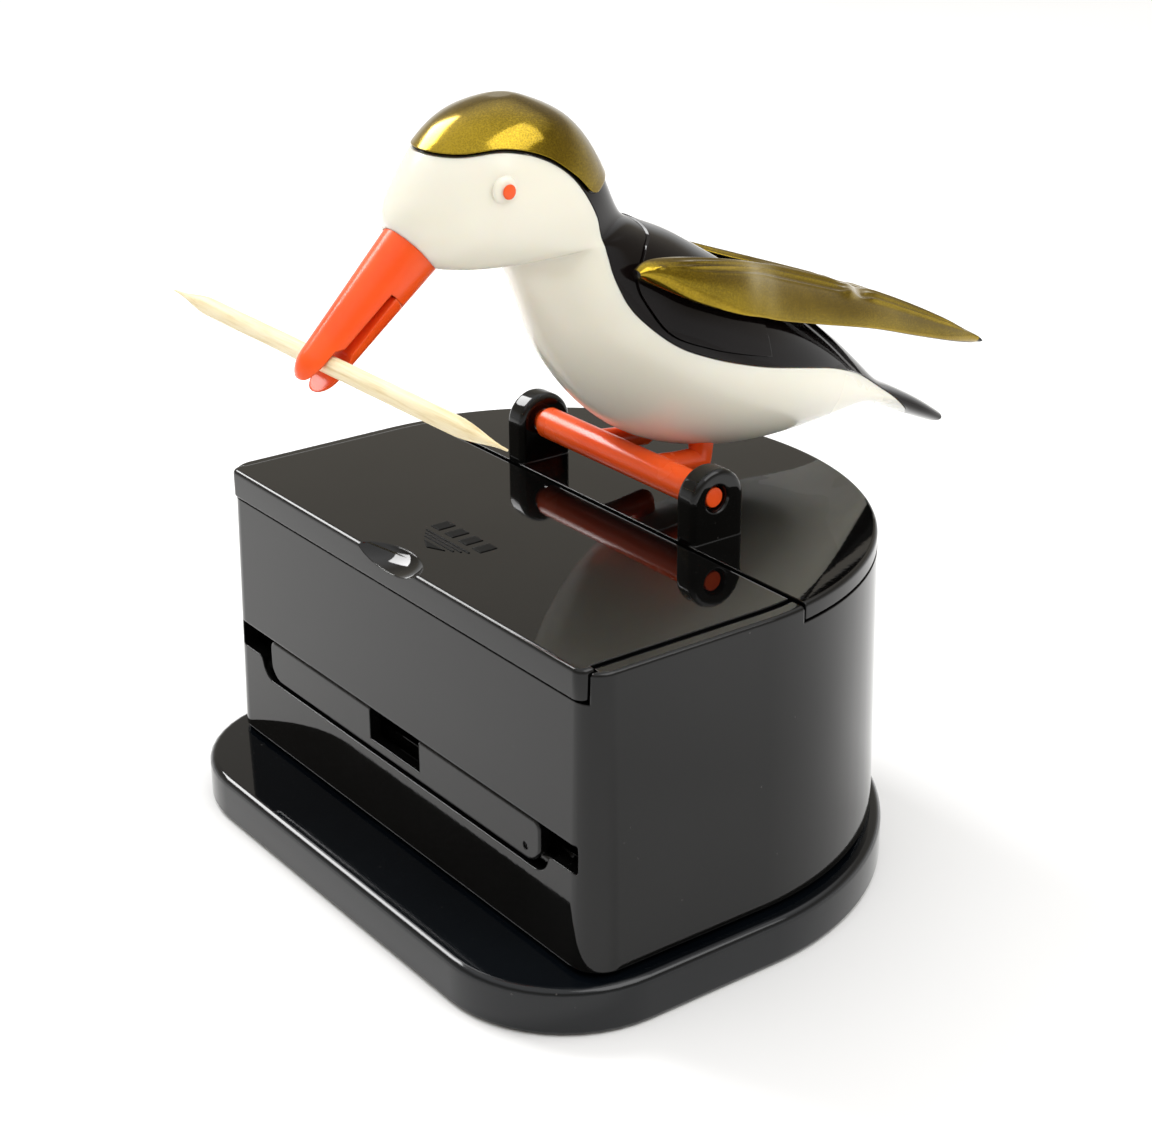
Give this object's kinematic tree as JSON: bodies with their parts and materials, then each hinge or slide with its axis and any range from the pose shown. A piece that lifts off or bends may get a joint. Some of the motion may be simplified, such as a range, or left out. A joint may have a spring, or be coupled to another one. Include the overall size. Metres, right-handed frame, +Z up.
{
  "type": "bowing-bird toothpick dispenser",
  "caption": "Desk toy: a sprung bird on a perch bar bows over a lidded box and grips a toothpick in its split beak.",
  "frame": {"origin": "underside of the base plate, on the mirror plane, below the top of the box's front face", "axes": "+X to the right seen from the front, +Y to the back where the tail points, +Z up"},
  "size_m": [0.078, 0.097, 0.0874],
  "materials": {
    "black_gloss": "high gloss black",
    "cream_gloss": "glossy warm white",
    "orange_gloss": "glossy orange",
    "gold_paint": "metallic gold coating on plastic",
    "spring_steel": "bright drawn wire",
    "zinc_steel": "zinc plated",
    "pale_wood": "plain birch"
  },
  "bodies": {
    "stand": {"base_plate": "black_gloss", "base_screw_1": "zinc_steel", "base_screw_2": "zinc_steel", "base_screw_3": "zinc_steel", "base_screw_4": "zinc_steel", "housing": "black_gloss", "pick_chute": "black_gloss", "rear_cover": "black_gloss", "lid_pin_left": "spring_steel", "lid_pin_right": "spring_steel", "torsion_spring": "spring_steel"},
    "lid": {"lid": "black_gloss"},
    "gate": {"gate_plate": "black_gloss"},
    "bird": {"perch_bar": "orange_gloss", "bird_body": "cream_gloss", "back_shell": "black_gloss", "wing_saddle": "black_gloss", "crown_cap": "gold_paint", "wing_left": "gold_paint", "wing_right": "gold_paint", "eye_left": "orange_gloss", "eye_right": "orange_gloss", "beak_upper": "orange_gloss"},
    "pick": {"toothpick": "pale_wood"},
    "lower_jaw": {"beak_lower": "orange_gloss"}
  },
  "joints": [
    {"name": "lid_open", "type": "hinge", "parent": "stand", "child": "lid", "pos_m": [0, 0.0259, 0.0386], "axis": [1, 0, 0], "range_deg": [-65, 0]},
    {"name": "gate_swing", "type": "hinge", "parent": "stand", "child": "gate", "pos_m": [0, 0.0006, 0.0158], "axis": [1, 0, 0], "range_deg": [0, 25], "stiffness_Nm_per_rad": 0.0002, "springref_deg": -11.46},
    {"name": "bird_tilt", "type": "hinge", "parent": "stand", "child": "bird", "pos_m": [0, 0.0309, 0.0446], "axis": [1, 0, 0], "range_deg": [0, 58], "stiffness_Nm_per_rad": 0.006, "springref_deg": -20.05, "deforming": ["torsion_spring"]},
    {"name": "toothpick_draw", "type": "slide", "parent": "bird", "child": "pick", "axis": [0, 0.739, 0.6738], "range_m": [-0.012, 0]},
    {"name": "jaw_flex", "type": "hinge", "parent": "bird", "child": "lower_jaw", "pos_m": [0, 0.00011, 0.06931], "axis": [1, 0, 0], "range_deg": [0, 4], "stiffness_Nm_per_rad": 0.01}
  ]
}
